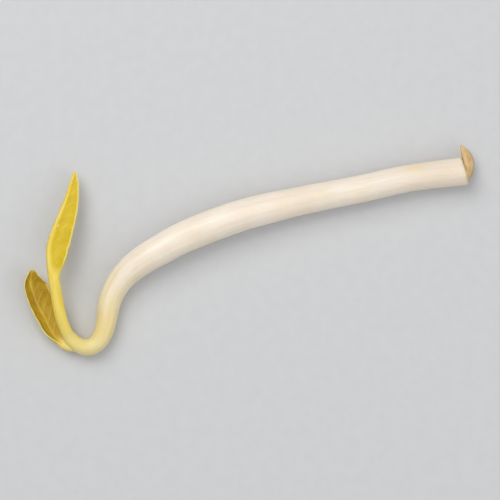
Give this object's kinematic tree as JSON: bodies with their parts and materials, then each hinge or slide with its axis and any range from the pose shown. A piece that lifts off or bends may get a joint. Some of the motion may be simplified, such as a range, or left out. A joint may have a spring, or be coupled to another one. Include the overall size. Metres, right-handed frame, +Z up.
{
  "type": "mung bean sprout",
  "caption": "Mung bean sprout lying on its side: S-curved white stem snapped at the root, yellow hooked top, a long folded leaf and a cupped leaf.",
  "frame": {"origin": "centre of the sprout's plan box, on the surface that it lies on", "axes": "+X along the stem from the hook towards the snapped end, +Y across the sprout towards the side that the leaves point to, +Z up off the surface"},
  "size_m": [0.0424, 0.0198, 0.0031],
  "materials": {
    "stem": "waxy, slightly translucent, white turning pale yellow towards the hook",
    "leaf_long": "satin, golden yellow with a paler midrib and margins",
    "leaf_curled": "satin, golden yellow with a paler margin",
    "root_shred": "dry, matt, tan"
  },
  "bodies": {
    "root": {"stem": "stem", "leaf_long": "leaf_long", "leaf_curled": "leaf_curled", "root_shred": "root_shred"}
  },
  "joints": []
}
